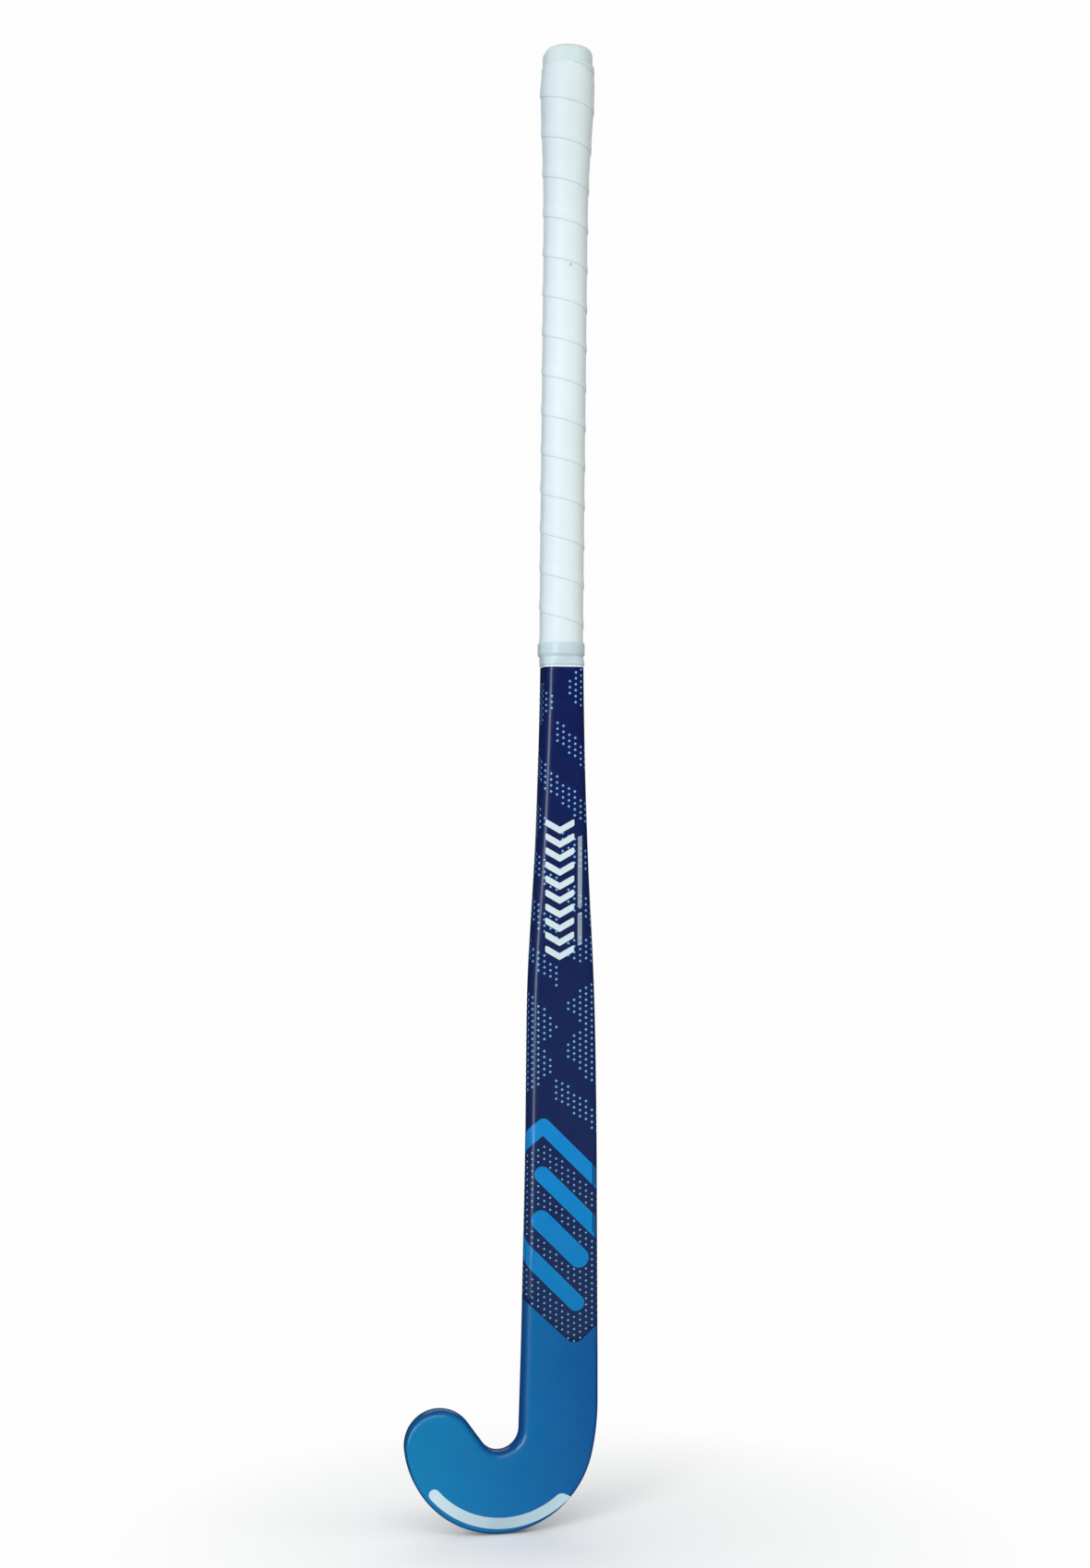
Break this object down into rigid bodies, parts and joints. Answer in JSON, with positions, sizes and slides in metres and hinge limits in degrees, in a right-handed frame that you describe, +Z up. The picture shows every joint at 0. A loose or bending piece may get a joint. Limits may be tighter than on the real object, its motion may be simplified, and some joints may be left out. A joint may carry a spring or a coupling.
{
  "type": "field hockey stick",
  "caption": "Right-handed composite field hockey stick with a flat playing face, a short upturned hook, a gentle bow and a wound pale grip.",
  "frame": {"origin": "middle of the handle's section where the upper hand holds it, 77 mm below the butt end", "axes": "+Z up the handle, -Y out of the flat playing face, -X towards the toe"},
  "size_m": [0.1219, 0.0533, 0.9269],
  "materials": {
    "lacquered_laminate": "navy and teal-blue paint under clear gloss lacquer, on carbon and glass fibre laminate",
    "bare_laminate": "bare carbon and glass fibre laminate",
    "aramid_ply": "resin-soaked woven aramid",
    "core_foam": "closed-cell polyurethane foam",
    "plug_plastic": "moulded plastic",
    "cap_plastic": "pale soft moulded polyurethane",
    "grip_tape": "pale soft polyurethane grip with felt backing",
    "band_tape": "pale satin vinyl tape",
    "label_film": "pale printed film under clear lacquer"
  },
  "bodies": {
    "root": {"outer_laminate": "lacquered_laminate", "toe_side_tube": "bare_laminate", "heel_side_tube": "bare_laminate", "impact_wrap": "aramid_ply", "hook_core": "core_foam", "butt_plug": "plug_plastic", "butt_cap": "cap_plastic", "grip_tape": "grip_tape", "finishing_band": "band_tape", "edge_label": "label_film"}
  },
  "joints": []
}
